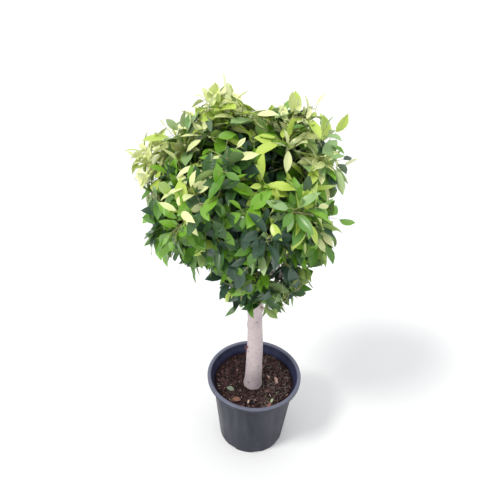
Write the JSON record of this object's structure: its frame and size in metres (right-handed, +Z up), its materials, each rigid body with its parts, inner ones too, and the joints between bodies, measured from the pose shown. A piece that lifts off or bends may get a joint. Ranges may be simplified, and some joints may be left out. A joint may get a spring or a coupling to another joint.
{
  "type": "potted lollipop standard tree",
  "caption": "Small-leaved fig trained as a lollipop standard: bare pale stem, loose round head of glossy leaves, round grow pot filled with potting mix.",
  "frame": {"origin": "centre of the pot's flat underside", "axes": "+Z up along the pot's axis, -Y towards the front of the plant"},
  "size_m": [0.5351, 0.4844, 1.1288],
  "materials": {
    "pot": "moulded slate-grey plastic, slightly scuffed",
    "potting_mix": "damp composted bark and fibre",
    "bark": "smooth pale pinkish-grey bark with fine speckles",
    "foliage": "glossy leaves, lime green when young and dark green when old"
  },
  "bodies": {
    "root": {"pot": "pot", "potting_mix": "potting_mix", "stem": "bark", "bough_front_left": "bark", "bough_front_right": "bark", "bough_back_right": "bark", "bough_back_left": "bark", "bough_leader": "bark", "limb_left_tuft": "bark", "limb_right_tuft": "bark", "limb_front_top": "bark", "limb_back_top": "bark", "limb_left_shoulder": "bark", "limb_right_shoulder": "bark", "limb_front_left": "bark", "limb_front_right": "bark", "limb_back_left": "bark", "limb_back_right": "bark", "limb_left_low": "bark", "limb_right_low": "bark", "limb_front_low": "bark", "limb_back_low": "bark", "limb_front_skirt": "bark", "limb_back_skirt": "bark", "limb_right_spray": "bark", "foliage_left_tuft": "foliage", "foliage_right_tuft": "foliage", "foliage_front_top": "foliage", "foliage_back_top": "foliage", "foliage_left_shoulder": "foliage", "foliage_right_shoulder": "foliage", "foliage_front_left": "foliage", "foliage_front_right": "foliage", "foliage_back_left": "foliage", "foliage_back_right": "foliage", "foliage_left_low": "foliage", "foliage_right_low": "foliage", "foliage_front_low": "foliage", "foliage_back_low": "foliage", "foliage_front_skirt": "foliage", "foliage_back_skirt": "foliage", "foliage_right_spray": "foliage"}
  },
  "joints": []
}
